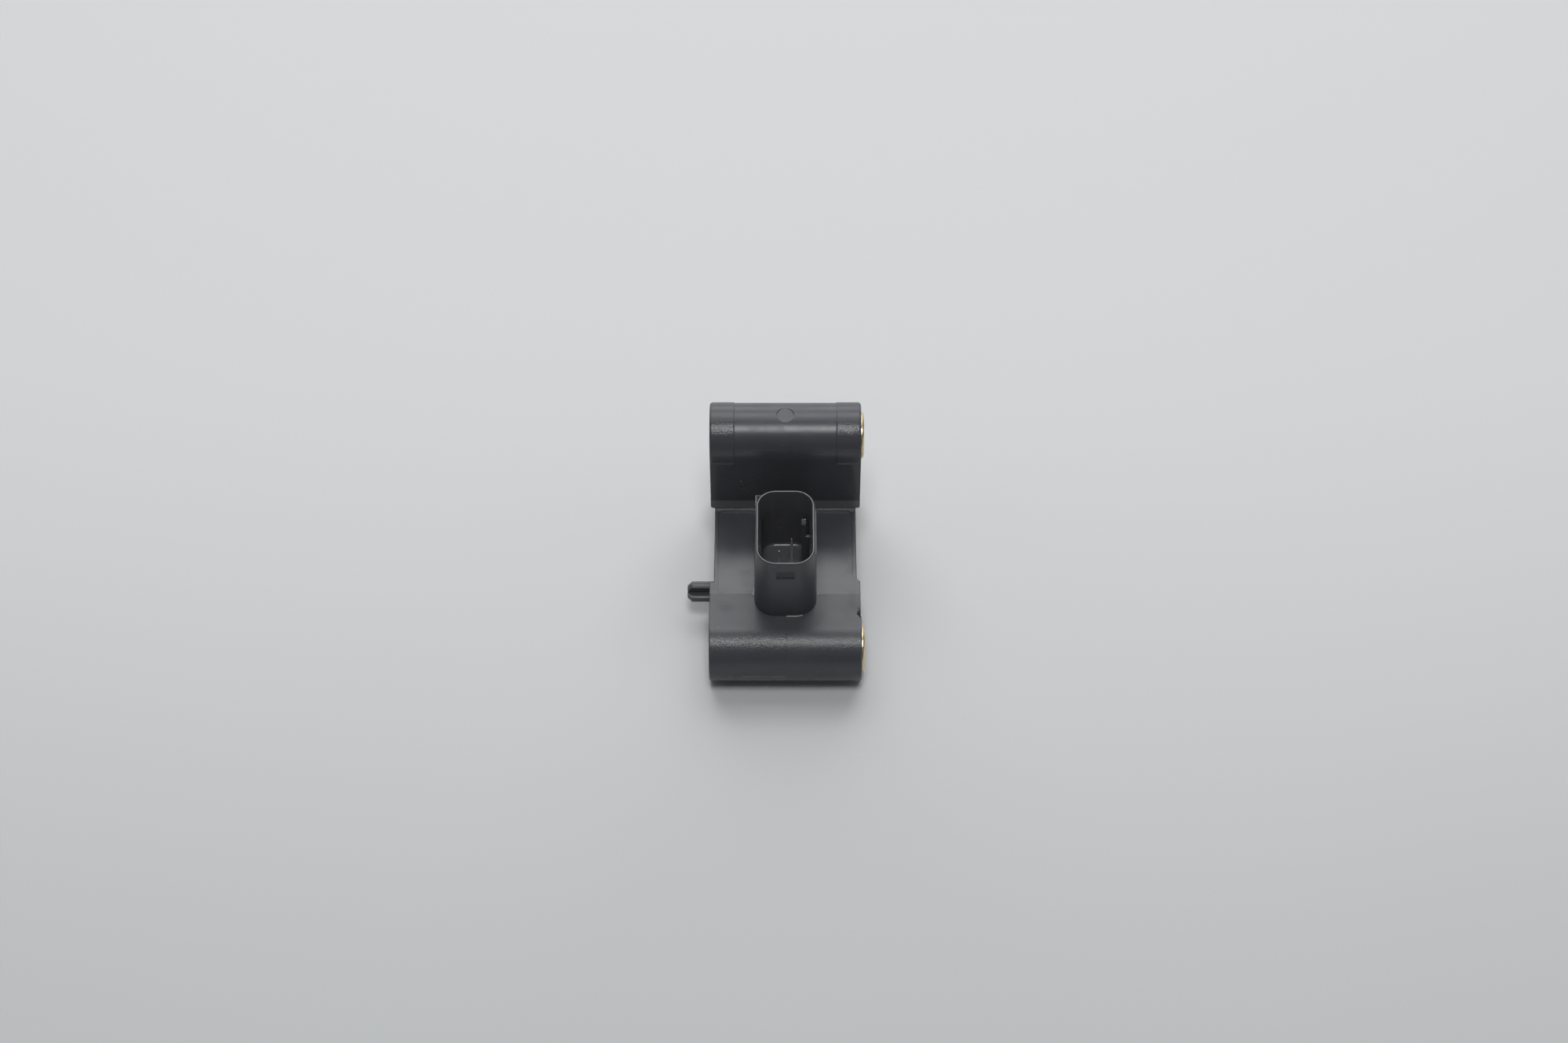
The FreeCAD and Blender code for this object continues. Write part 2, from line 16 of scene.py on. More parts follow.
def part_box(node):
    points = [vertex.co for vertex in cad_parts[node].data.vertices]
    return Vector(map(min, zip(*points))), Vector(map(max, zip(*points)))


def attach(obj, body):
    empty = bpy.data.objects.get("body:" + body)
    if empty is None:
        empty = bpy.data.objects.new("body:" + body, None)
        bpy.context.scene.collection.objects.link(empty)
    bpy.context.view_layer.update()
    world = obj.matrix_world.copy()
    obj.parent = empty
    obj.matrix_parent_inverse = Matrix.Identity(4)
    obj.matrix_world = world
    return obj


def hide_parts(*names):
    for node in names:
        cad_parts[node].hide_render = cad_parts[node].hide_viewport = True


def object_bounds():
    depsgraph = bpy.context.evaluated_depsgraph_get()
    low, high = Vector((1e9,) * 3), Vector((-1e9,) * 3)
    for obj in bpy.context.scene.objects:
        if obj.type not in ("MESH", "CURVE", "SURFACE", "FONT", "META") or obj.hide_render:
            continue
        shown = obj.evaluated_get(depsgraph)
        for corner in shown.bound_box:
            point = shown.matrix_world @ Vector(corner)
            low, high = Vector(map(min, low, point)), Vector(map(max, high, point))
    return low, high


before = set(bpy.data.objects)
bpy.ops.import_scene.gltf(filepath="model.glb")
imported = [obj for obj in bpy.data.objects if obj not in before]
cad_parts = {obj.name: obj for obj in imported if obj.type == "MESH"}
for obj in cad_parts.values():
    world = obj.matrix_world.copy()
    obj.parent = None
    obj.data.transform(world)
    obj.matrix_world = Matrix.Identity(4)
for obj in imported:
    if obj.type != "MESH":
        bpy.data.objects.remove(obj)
cad_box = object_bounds()
MM = 0.001
print("nodes:", len(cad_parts), "box in mm:", [round(side / MM, 2) for side in cad_box[1] - cad_box[0]])

# %% [markdown]
# ## The camera
# The sensor was photographed from the side of its lower bolt, looking down at about fifty degrees with a
# rather long lens. A camera could be placed by eye, but here its distance, angle and lens come from fitting
# the outlines, so that every edge lands where it should. It aims at one point of the part, with no roll.

# %% Set up the camera
AIM = Vector((15.915, 28.72, 7.0)) * MM
CAMERA_DISTANCE = 0.7268
CAMERA_ELEVATION = math.radians(51.99)
LENS = 77.0
SENSOR_WIDTH = 36.0
NEAREST_SEEN = 0.01

camera = bpy.data.objects.new("camera", bpy.data.cameras.new("camera"))
camera.data.lens = LENS
camera.data.sensor_width = SENSOR_WIDTH
camera.data.clip_start = NEAREST_SEEN
away = Vector((0, -math.cos(CAMERA_ELEVATION), math.sin(CAMERA_ELEVATION)))
camera.location = AIM + away * CAMERA_DISTANCE
camera.rotation_euler = (math.pi / 2 - CAMERA_ELEVATION, 0, 0)
bpy.context.scene.collection.objects.link(camera)
bpy.context.scene.camera = camera
bpy.context.scene.view_settings.view_transform = "Standard"
print("camera at", [round(value, 3) for value in camera.location])

# %% [markdown]
# ## Writing shaders as sums
# A finish is a small network of nodes. Wiring each one by hand hides the idea, so two small classes let the
# finish be written as ordinary sums. The first, `Value`, stands for the output of a node and adds a Math node
# for each operator, also where a plain number comes first.

# %% Write sums of node outputs
class Value:
    """The output of a node, for use in sums."""

    def __init__(self, finish, socket):
        self.finish = finish
        self.socket = socket

    def math(self, operation, *values):
        return self.finish.add("Math", {"operation": operation}, dict(enumerate(values)))

    def __add__(self, other):
        return self.math("ADD", self, other)

    def __sub__(self, other):
        return self.math("SUBTRACT", self, other)

    def __rsub__(self, other):
        return self.math("SUBTRACT", other, self)

    def __mul__(self, other):
        return self.math("MULTIPLY", self, other)

    def __truediv__(self, other):
        return self.math("DIVIDE", self, other)

    def __pow__(self, other):
        return self.math("POWER", self, other)

    __radd__ = __add__
    __rmul__ = __mul__

    def larger(self, other):
        return self.math("MAXIMUM", self, other)

    def size(self):
        return self.math("ABSOLUTE", self)

    def wave(self):
        return self.math("SINE", self)


def distance(*sides):
    """Length of a straight line from the lengths of its sides along the axes."""
    return sum(side ** 2 for side in sides) ** 0.5


print("operators for sums: + - * / **")

# %% [markdown]
# The second class, `Finish`, holds one material and adds any other node with its settings and its sockets.
# Patterns read Object coordinates, so that they stay where they are on the part. A mask is a product of soft
# steps: each row names a value, where its step starts and where it is full. The room's light is a network of
# nodes too, so the class can hold a world as well.

# %% Hold a finish
class Finish:
    """One material, or a world, with a method that adds any node to it."""

    def __init__(self, name, blocks=bpy.data.materials, shader="Principled BSDF"):
        self.block = blocks.new(name)
        self.block.use_nodes = True
        self.tree = self.block.node_tree
        self.shader = self.tree.nodes[shader]

    def add(self, kind, settings=None, sockets=None, output=0):
        node = self.tree.nodes.new("ShaderNode" + kind)
        for name, setting in (settings or {}).items():
            setattr(node, name, setting)
        for key, value in (sockets or {}).items():
            self.feed(node.inputs[key], value)
        return Value(self, node.outputs[output])

    def feed(self, socket, value):
        if isinstance(value, Value):
            self.tree.links.new(value.socket, socket)
        else:
            socket.default_value = value

    def surface(self, **sockets):
        for name, value in sockets.items():
            self.feed(self.shader.inputs[name.replace("_", " ")], value)

    def coat(self, thing):
        thing.data.materials.append(self.block)

    @functools.cached_property
    def object_place(self):
        return self.add("TexCoord", output="Object")

    def place_mm(self):
        """The place on the part in millimetres, as three values."""
        first = self.add("SeparateXYZ", None, {"Vector": self.object_place})
        return [Value(self, output) / MM for output in first.socket.node.outputs]

    def noise(self, grain_mm, detail=2.0, stretch=(1, 1, 1)):
        """Cloudy values from 0 to 1 whose grains are about this size."""
        turned = self.add("Mapping", None, {"Vector": self.object_place, "Scale": stretch})
        return self.add("TexNoise", None, {"Vector": turned, "Scale": 1 / (grain_mm * MM), "Detail": detail})

    def between(self, value, start, full):
        """0 at start, 1 at full and a smooth change between them."""
        settings = {"interpolation_type": "SMOOTHSTEP"}
        return self.add("MapRange", settings, {"Value": value, "From Min": start, "From Max": full})

    def mask(self, *limits):
        """1 where every value is past its full limit, and 0 where any is before its start."""
        shares = [self.between(*limit) for limit in limits]
        return math.prod(shares[1:], start=shares[0])

    def blend(self, share, first, second):
        return self.add("Mix", {"data_type": "RGBA"}, {0: share, 6: first, 7: second}, output=2)

    def bump(self, height_mm):
        return self.add("Bump", None, {"Height": height_mm, "Distance": MM, "Strength": 1.0})


print("a finish offers:", [name for name in vars(Finish) if not name.startswith("_")])

# %% [markdown]
# ## The table
# The sensor lies on a plain pale table. Its colour holds painted light: it is lighter at the back, towards
# the bright backdrop, and darker towards the camera. A curved backdrop could hide the table's end, but it
# would also change the light. So the table is a large flat sheet that fades into the colour of the room far
# from the part, and a low view shows no edge.

# %% Lay the table
TABLE_Z = cad_box[0].z
TABLE_SIZE = 6.0
PAPER_PAINTED_DIM_NEAR, PAPER_PAINTED_LIT_BACK = (0.575, 0.585, 0.592, 1), (0.725, 0.732, 0.74, 1)
FALLOFF_WANDER, FALLOFF_PATCH = 12.0, 90.0
LIGHTER_FROM, LIGHTEST_AT = -130.0, 110.0
FADE_START, FADE_END = 300.0, 800.0
ROOM_SEEN = (0.55, 0.56, 0.57, 1)
BLACK = (0, 0, 0, 1)

work = bmesh.new()
bmesh.ops.create_grid(work, x_segments=1, y_segments=1, size=TABLE_SIZE / 2)
bmesh.ops.translate(work, verts=work.verts, vec=(0, 0, TABLE_Z))
table_mesh = bpy.data.meshes.new("table")
work.to_mesh(table_mesh)
work.free()
table = bpy.data.objects.new("table", table_mesh)
bpy.context.scene.collection.objects.link(table)

table_finish = Finish("table_top")
x, y = table_finish.place_mm()[:2]
# Painted light: the paper is painted lighter towards the back and darker towards the camera, with an uneven
# edge.
uneven_y = y + FALLOFF_WANDER * table_finish.noise(FALLOFF_PATCH)
painted_light_to_back = table_finish.between(uneven_y, LIGHTER_FROM, LIGHTEST_AT)
paper_with_painted_falloff = table_finish.blend(painted_light_to_back, PAPER_PAINTED_DIM_NEAR, PAPER_PAINTED_LIT_BACK)
faded = table_finish.between(distance(x, y), FADE_START, FADE_END)
table_finish.surface(
    Base_Color=table_finish.blend(faded, paper_with_painted_falloff, BLACK),
    Emission_Color=table_finish.blend(faded, BLACK, ROOM_SEEN),
    Emission_Strength=1.0,
    Roughness=0.55,
    Specular_IOR_Level=0.3,
)
table_finish.coat(table)
print("table at", round(TABLE_Z / MM, 2), "mm")

# %% [markdown]
# ## The lamps
# Most of the light comes from a bright backdrop behind the sensor, which makes level faces of the dark
# plastic shine and leaves its upright faces dark. A small lamp high above the camera's side draws the two
# bright lines along the barrels. A picture of a studio could light the part, but here each strip of the
# backdrop is a flat panel with its own brightness, and weak panels fill the other sides, so that each
# reflection can be set alone.

# %% Hang the lamps
LAMP_COLOUR = (0.98, 0.99, 1.0)


def lamp(name, tilt, spread, width, radiance, turn=0, reach=1.5):
    """Panel of light aimed at the part: tilt from straight up, spread and turn from behind, in degrees."""
    data = bpy.data.lights.new(name, "AREA")
    data.shape = "RECTANGLE"
    data.size = width
    data.size_y = 2 * reach * math.tan(math.radians(spread / 2))
    data.energy = radiance * math.pi * data.size * data.size_y
    data.color = LAMP_COLOUR
    lamp_object = bpy.data.objects.new(name, data)
    side = Vector((math.sin(math.radians(turn)), math.cos(math.radians(turn)), 0))
    direction = side * math.sin(math.radians(tilt)) + Vector((0, 0, math.cos(math.radians(tilt))))
    lamp_object.location = AIM + direction * reach
    lamp_object.rotation_euler = direction.to_track_quat("Z", "Y").to_euler()
    lamp_object.visible_camera = False
    bpy.context.scene.collection.objects.link(lamp_object)
    return lamp_object


lamps = [
    lamp("backdrop_foot", tilt=84, spread=12, width=1.7, radiance=0.5),
    lamp("backdrop_low", tilt=70, spread=16, width=1.7, radiance=2.6),
    lamp("backdrop_middle", tilt=54, spread=16, width=1.7, radiance=0.65),
    lamp("backdrop_high", tilt=38, spread=16, width=1.7, radiance=3.5),
    lamp("ceiling", tilt=22, spread=16, width=1.6, radiance=1.5),
    lamp("key", tilt=-15, spread=16, width=0.3, radiance=15.0, reach=1.2),
    lamp("front_fill", tilt=-51, spread=22, width=2.6, radiance=0.14),
    lamp("left_fill", tilt=60, spread=40, width=1.0, radiance=0.3, turn=-90),
    lamp("right_fill", tilt=60, spread=40, width=1.0, radiance=0.3, turn=90),
]
print("lamps:", [item.name for item in lamps])

# %% [markdown]
# ## The room
# Between the lamps the part sees a dim room, and behind the part the view shows a pale one. One colour can't
# be both, so the world gives the dim colour as light and the pale one only where it is looked at directly.

# %% Fill the room
ROOM_LIGHT = (0.058, 0.059, 0.061, 1)

room = Finish("room", bpy.data.worlds, "Background")
looked_at = room.add("LightPath", output="Is Camera Ray")
room.surface(Color=room.blend(looked_at, ROOM_LIGHT, ROOM_SEEN))
bpy.context.scene.world = room.block
print("room light", ROOM_LIGHT[:3])

# %% [markdown]
# ## Soft edges for the moulding
# The CAD solids have crisp corners, but a moulding tool never makes one: each outer edge is slightly round,
# and that round edge is what catches the light. A Bevel modifier could do it on the CAD mesh, but its loose
# triangles would tear. So a copy is merged, and its flat triangles are joined into whole faces.

# %% Copy the housing as whole faces
MERGE_WITHIN = 0.002
FLAT_BEND = math.radians(0.3)


def whole_faces(node):
    """A copy of a CAD node's mesh with its triangles joined where they lie in one plane."""
    work = bmesh.new()
    work.from_mesh(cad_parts[node].data)
    bmesh.ops.remove_doubles(work, verts=work.verts, dist=MERGE_WITHIN * MM)
    bmesh.ops.dissolve_limit(work, angle_limit=FLAT_BEND, verts=work.verts, edges=work.edges)
    return work


work = whole_faces("housing")
print("triangles:", len(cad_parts["housing"].data.polygons), "whole faces:", len(work.faces))

# %% [markdown]
# Only sharp outer edges are bevelled. Wide faces get a larger round than thin ones, so that no two rounds run
# into each other. The sealed chamber and the bores are never seen, so their edges stay as they are.

# %% Round the outer edges
SHARP_BEND = math.radians(25)
WIDE_FACE = 1.0
WIDE_ROUND, THIN_ROUND = 0.2, 0.04
LOWER_BOLT, UPPER_BOLT = Vector((0, 0, 0)), Vector((0, 39.8, 22.9))
BOLTS = (LOWER_BOLT, UPPER_BOLT)
BORE_R = 5.05
HEEL = Vector((0, 45.8, -6.0))
CHAMBER_TOP = 5.0

chamber_low, chamber_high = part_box("bottom_cover")


def out_of_sight(place):
    """True in the sealed chamber, in the bores and at the round heel, which the CAD part has already."""
    over_cover = all(chamber_low[i] < place[i] < chamber_high[i] for i in (0, 1))
    in_chamber = over_cover and place.z < CHAMBER_TOP * MM
    at_heel = place.y > HEEL.y * MM and place.z < HEEL.z * MM
    from_bolts = [math.hypot(place.y - bolt.y * MM, place.z - bolt.z * MM) for bolt in BOLTS]
    return in_chamber or at_heel or min(from_bolts) < BORE_R * MM


def outer_edges(work, hidden):
    """Sharp outer edges, as those between wide faces and those beside a thin one."""
    wide, thin = [], []
    for edge in work.edges:
        middle = (edge.verts[0].co + edge.verts[1].co) / 2
        if edge.calc_face_angle_signed() < SHARP_BEND or hidden(middle):
            continue
        width = min(face.calc_area() for face in edge.link_faces) / edge.calc_length()
        (wide if width > WIDE_FACE * MM else thin).append(edge)
    return wide, thin


def round_edges(work, edges, radius_mm, segments):
    edges = [edge for edge in edges if edge.is_valid]
    bmesh.ops.bevel(
        work, geom=edges, offset=radius_mm * MM, offset_type="OFFSET", segments=segments, profile=0.5,
        affect="EDGES", material=-1, loop_slide=True,
    )
    return len(edges)


wide, thin = outer_edges(work, out_of_sight)
rounded = [round_edges(work, wide, WIDE_ROUND, 3), round_edges(work, thin, THIN_ROUND, 2)]
print("rounded edges between wide and beside thin faces:", rounded)

# %% [markdown]
# A finished mesh becomes a piece of the part: it is shaded smooth between its sharp edges, rides on the body,
# and may stand for a CAD node. Weighted normals keep the flat faces level right up to their narrow rounds.

# %% Make the moulding a piece
SMOOTH_BEND = math.radians(40)


def piece(name, work, slot, *replaced):
    """Writes the mesh, shades it smooth between its sharp edges, sets it on the body and hides what it stands
    for.
    """
    for face in work.faces:
        face.smooth = True
    for edge in work.edges:
        edge.smooth = edge.calc_face_angle(0.0) < SMOOTH_BEND
    mesh = bpy.data.meshes.new(name)
    work.to_mesh(mesh)
    work.free()
    if mesh.has_custom_normals:
        mesh.attributes.remove(mesh.attributes["custom_normal"])
    made = bpy.data.objects.new(name, mesh)
    bpy.context.scene.collection.objects.link(made)
    made.modifiers.new("level_faces", "WEIGHTED_NORMAL").keep_sharp = True
    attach(made, "root")
    if replaced:
        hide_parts(*replaced)
    return made


moulding = piece("moulding", work, "charcoal_plastic", "housing")
print("moulding faces:", len(moulding.data.polygons))

# %% [markdown]
# ## True shading on the round faces
# The barrels and the socket's corners are really round, but their facets are long and thin, and normals that
# are averaged over such facets make streaks. More facets would help a little. It is simpler to know the true
# direction: straight out of the bolt's axis, or out of the axis of the socket's corner. So each corner of a
# facet that lies on one of these rounds is given that direction.

# %% Shade the round faces truly
BARREL_R, COLLAR_R = 7.0, 7.12
MID_X = 16.2
SOCKET_MIDDLE = Vector((MID_X, 13.6, 24.5))
CORNER_AWAY = Vector((2.025, 5.7, 0))
# Each round of the socket: its radius at the rim, how much it widens downwards, and 1 if it faces out.
SOCKET_ROUNDS = ((4.2, math.tan(math.radians(1.4)), 1), (3.05, 0, -1), (3.75, -0.7 / 6.0, -1))
ON_FACE = 0.02
LARGE_FACE = 40.0
LIKENESS, LARGE_LIKENESS = 0.7, 0.996


def round_directions(place):
    """Straight out of each barrel or socket corner that passes through a place in millimetres."""
    for bolt in BOLTS:
        out = place - bolt
        out.x = 0
        if any(abs(out.length - radius) < ON_FACE for radius in (BARREL_R, COLLAR_R)):
            yield out.normalized()
    away = place - SOCKET_MIDDLE
    out = Vector((abs(away.x), abs(away.y), 0)) - CORNER_AWAY
    if min(out) > -ON_FACE:
        for radius, widening, facing in SOCKET_ROUNDS:
            if abs(out.length - radius + widening * away.z) < ON_FACE:
                flat = Vector((math.copysign(out.x, away.x), math.copysign(out.y, away.y), 0)).normalized()
                yield (flat + Vector((0, 0, widening))).normalized() * facing


def corner_direction(face, place):
    """Exact direction of a round face at one of its corners, or nothing for any other face."""
    likeness = LARGE_LIKENESS if face.area > LARGE_FACE * MM ** 2 else LIKENESS
    fitting = [way for way in round_directions(place / MM) if face.normal.dot(way) > likeness]
    return fitting[0] if fitting else Vector()


shape = moulding.data
directions = [Vector()] * len(shape.loops)
for face in shape.polygons:
    for corner, vertex in zip(face.loop_indices, face.vertices):
        directions[corner] = corner_direction(face, shape.vertices[vertex].co)
shape.normals_split_custom_set(directions)
on_round = {shape.loops[i].vertex_index for i, way in enumerate(directions) if way.length}
elsewhere = moulding.vertex_groups.new(name="off_the_rounds")
elsewhere.add([vertex.index for vertex in shape.vertices if vertex.index not in on_round], 1.0, "REPLACE")
moulding.modifiers["level_faces"].vertex_group = elsewhere.name
print("vertices on round faces:", len(on_round))

# %% [markdown]
# ## The charcoal plastic
# The moulding is a dark glass-filled plastic. Its flat panels come out of the tool glossy enough to mirror
# the wall beside them, while the crests of the barrels were spark-eroded and sparkle with a fine grain. The
# mesh could be split into a material for each place, but the borders are soft. So one material does it all,
# and masks in millimetres say where on the part each finish is.

# %% Find the places on the moulding
charcoal = Finish("charcoal_plastic")
x, y, z = charcoal.place_mm()
across, along = (x - MID_X).size(), (y - SOCKET_MIDDLE.y).size()
past_corner = [(side - start).larger(0) for side, start in zip((across, along), CORNER_AWAY)]
out_from_corner = distance(*past_corner)

lower_crest = charcoal.mask((y, 1.0, -1.4), (z, 1.0, 5.0))
collar_ends = charcoal.between(across, 10.85, 10.95)
upper_crest = charcoal.mask((y, 34.4, 35.4), (y, 38.6, 37.4), (z, 24.0, 25.0))
grainy = lower_crest.larger(collar_ends * upper_crest)
front_top = charcoal.mask((y, 9.2, 9.1), (z, 7.4, 7.1))
barrel_top = charcoal.between(z, 24.7, 26.0)
# Places of painted light: the tilted foot of the wall under the upper barrel, and the inside of the socket.
foot_band = charcoal.mask((y, 32.78, 32.7), (y, 32.2, 32.3), (z, 7.05, 7.2), (z, 10.0, 9.7))
in_socket = charcoal.mask((out_from_corner, 3.95, 3.85), (z, 7.2, 7.3))
on_socket = charcoal.mask((out_from_corner, 3.95, 4.05), (z, 7.2, 7.3), (y, 24.5, 24.0))
key_sides = (x, 10.0, 10.2), (x, 11.6, 11.4), (y, 21.0, 21.2), (y, 23.4, 23.2)
# Places of painted shade: the top of the keyed corner down in the socket, and the stamped recess.
key_top = charcoal.mask((out_from_corner, 4.35, 4.5), (z, 20.0, 20.2), *key_sides)
stamp = charcoal.mask((across, 1.87, 1.83), (y, 5.0, 4.9), (z, 19.45, 19.5), (z, 21.85, 21.8))
print("nodes for the places:", len(charcoal.tree.nodes))

# %% [markdown]
# With the places known, the finish is a few sums. Large clouds and long streaks vary the gloss, as the flow
# of the plastic does. Handling adds faint smudges and a few specks of dust. The stamped recess and the top of
# the keyed corner are dull, and painted shade makes them darker. The tilted foot of the wall and the inside
# of the socket get painted light: a lighter colour for the light that the foot catches and that the walls of
# the socket throw at each other.

# %% Mix the charcoal plastic
CHARCOAL_DARK, CHARCOAL_LIGHT = (0.057, 0.058, 0.067, 1), (0.073, 0.074, 0.083, 1)
DUST = (0.2, 0.2, 0.21, 1)
# Painted light and painted shade: a lighter and a darker copy of the plastic's colour.
LIT_PLASTIC, SHADED_PLASTIC = (0.14, 0.14, 0.15, 1), (0.02, 0.02, 0.022, 1)
SMOOTH_HIGH, GRAIN_HIGH, RIPPLE_HIGH = 0.001, 0.055, 0.004

grain = charcoal.noise(0.26, detail=2.0)
ripple = charcoal.noise(1.6)
cloud = charcoal.noise(7.0)
streak = charcoal.noise(2.2, stretch=(0.35, 1, 1), detail=3.0)
smudge = charcoal.between(charcoal.noise(4.5, detail=2.0), 0.42, 0.78)
specks = charcoal.between(charcoal.noise(0.8, detail=1.0), 0.765, 0.8)

tone = charcoal.blend(cloud, CHARCOAL_DARK, CHARCOAL_LIGHT)
tone = charcoal.blend(0.4 * specks, tone, DUST)
# Painted light: the tilted foot of the wall, and at half share the inside of the socket, are painted lighter.
tone = charcoal.blend(foot_band.larger(0.5 * in_socket), tone, LIT_PLASTIC)
# Painted shade: the stamped recess and the top of the keyed corner are painted darker.
tone = charcoal.blend((0.45 * stamp).larger(key_top), tone, SHADED_PLASTIC)
roughness = 0.16 + 0.03 * cloud + 0.06 * streak + 0.09 * smudge
roughness = roughness + front_top * (0.12 - 0.05 * grainy) + barrel_top * (0.1 - 0.07 * grainy)
roughness = roughness + on_socket * (0.12 + 0.1 * stamp + 0.35 * key_top)
relief = grain * (SMOOTH_HIGH + GRAIN_HIGH * grainy) + RIPPLE_HIGH * ripple
charcoal.surface(Base_Color=tone, Roughness=roughness, Normal=charcoal.bump(relief))
charcoal.coat(moulding)
print("charcoal plastic nodes:", len(charcoal.tree.nodes))

# %% [markdown]
# ## The pale flash
# Flash is so thin that it turns pale where it is bent or torn, and its pale patches are partly painted glints
# where the ragged flash catches the lamps. The charcoal could be lightened by one more mask, but the flash
# will be pieces of its own, so it gets a lighter mix with a torn and uneven surface.

# %% Mix the pale flash
FLASH_DULL, FLASH_PALE_AND_GLINT = (0.16, 0.16, 0.165, 1), (0.62, 0.62, 0.63, 1)

flash = Finish("flash_plastic")
torn_and_glint = flash.noise(0.25, detail=3.0)
flash.surface(
    # Partly the pale colour of stretched flash, partly painted glints where its ragged edges catch the lamps.
    Base_Color=flash.blend(torn_and_glint, FLASH_DULL, FLASH_PALE_AND_GLINT),
    Roughness=0.3 + 0.2 * torn_and_glint,
    Normal=flash.bump(0.02 * torn_and_glint),
)
print("flash nodes:", len(flash.tree.nodes))

# %% [markdown]
# ## The brass bushes
# Each bush is a sleeve turned from brass bar, a little longer than the barrel, so that the bolt clamps on
# metal and not on plastic. Lathe tools leave fine rings on the ends and fine lines round the outside. The
# rings could be modelled, but they are far too fine. They depend only on the distance from the bolt's axis,
# so a sine of that distance draws them, and a noise squeezed along the axis draws the lines on the outside.

# %% Turn the bushes
BRASS_WARM, BRASS_PALE = (0.76, 0.60, 0.34, 1), (0.82, 0.69, 0.45, 1)
BRASS_TARNISHED = (0.42, 0.29, 0.13, 1)
RING_RATE, BAND_RATE = 38.0, 10.0
BUSH_ROUND = 0.05
BURIED_START, BURIED_END = 12.0, 21.0


def turned_brass(name, bolt):
    brass = Finish(name)
    y, z = brass.place_mm()[1:]
    radius = distance(y - bolt.y, z - bolt.z)
    rings = (radius * RING_RATE + 1.5 * brass.noise(3.0)).wave()
    bands = (radius * BAND_RATE + 2.5 * brass.noise(3.5)).wave()
    lines = brass.noise(0.5, stretch=(12, 1, 1))
    stain = brass.noise(2.6)
    tarnish = brass.between(brass.noise(1.4, detail=4.0), 0.5, 0.72)
    clean = brass.blend(stain, BRASS_WARM, BRASS_PALE)
    brass.surface(
        Base_Color=brass.blend(0.45 * tarnish, clean, BRASS_TARNISHED),
        Metallic=1.0,
        Roughness=0.2 + 0.08 * stain + 0.03 * rings + 0.04 * bands + 0.1 * tarnish,
        Normal=brass.bump(0.0016 * rings + 0.005 * bands + 0.003 * lines),
    )
    return brass


for node, bolt in zip(("lower_bush", "upper_bush"), BOLTS):
    work = whole_faces(node)
    wide, thin = outer_edges(work, lambda place: BURIED_START * MM < place.x < BURIED_END * MM)
    count = round_edges(work, wide + thin, BUSH_ROUND, 2)
    sleeve = piece("turned_" + node, work, "brass", node)
    turned_brass(node + "_brass", bolt).coat(sleeve)
    print(sleeve.name, "rounded edges:", count)

# %% [markdown]
# ## The contact pins
# Two square pins stand on the socket's floor. They are drawn wire with a tin plating, so they have soft
# corners and faint lines along their length. New pins could be drawn, but the CAD pins have the right taper
# and only need those corners, so they are copied and rounded above the floor.

# %% Plate the pins
TIN_DULL, TIN_BRIGHT = (0.70, 0.70, 0.69, 1), (0.84, 0.84, 0.82, 1)
PIN_ROUND = 0.08
PIN_FOOT = 7.0

tin = Finish("tinned_contact")
drawn = tin.noise(0.12, stretch=(1, 1, 0.06))
dull = tin.noise(0.8, detail=3.0)
tin.surface(
    Base_Color=tin.blend(dull, TIN_DULL, TIN_BRIGHT),
    Metallic=1.0,
    Roughness=0.3 + 0.2 * dull,
    Normal=tin.bump(0.004 * drawn),
)
for node in ("left_terminal", "right_terminal"):
    work = whole_faces(node)
    wide, thin = outer_edges(work, lambda place: place.z < PIN_FOOT * MM)
    round_edges(work, wide + thin, PIN_ROUND, 3)
    pin = piece("plated_" + node, work, "tinned_contact", node)
    tin.coat(pin)
    print(pin.name, "faces:", len(pin.data.polygons))

# %% [markdown]
# ## Parting lines
# Where two halves of a moulding tool meet, a little plastic creeps into the gap and leaves a thin raised
# line. Such lines could be painted with a bump, but they catch the light from every side, so they are real
# ridges. Each starts as a small face, which is pushed along a straight run or spun round an axis. The first
# one runs from the socket's foot over the crest of the lower barrel.

# %% Raise the parting line
LINE_X = 16.4
LINE_START = 3.3
LINE_HALF, LINE_HIGH = 0.07, 0.035
LINE_TURN = 64
SUNK = 0.05


def section(work, *corners):
    """Face through a few points in millimetres."""
    return work.faces.new([work.verts.new(Vector(corner) * MM) for corner in corners])


def end_face(items):
    """The face among the elements that an operator made."""
    return next(item for item in items if isinstance(item, bmesh.types.BMFace))


def pushed(work, face, move):
    """Extrudes a face along a move in millimetres and returns its new end."""
    moved = bmesh.ops.extrude_face_region(work, geom=[face])["geom"]
    points = [item for item in moved if isinstance(item, bmesh.types.BMVert)]
    bmesh.ops.translate(work, verts=points, vec=Vector(move) * MM)
    return end_face(moved)


def spun(work, face, centre, axis, degrees, steps):
    """Spins a face about an axis through a point in millimetres and returns its new end."""
    angle = math.radians(degrees)
    turned = bmesh.ops.spin(work, geom=[face], cent=Vector(centre) * MM, axis=axis, angle=angle, steps=steps)
    return end_face(turned["geom_last"])


def closed(work):
    """Takes out the faces that a run leaves inside where it goes on, and turns the others outwards."""
    inner = [face for face in work.faces if all(len(edge.link_faces) > 2 for edge in face.edges)]
    bmesh.ops.delete(work, geom=inner, context="FACES_ONLY")
    bmesh.ops.recalc_face_normals(work, faces=work.faces)
    return work


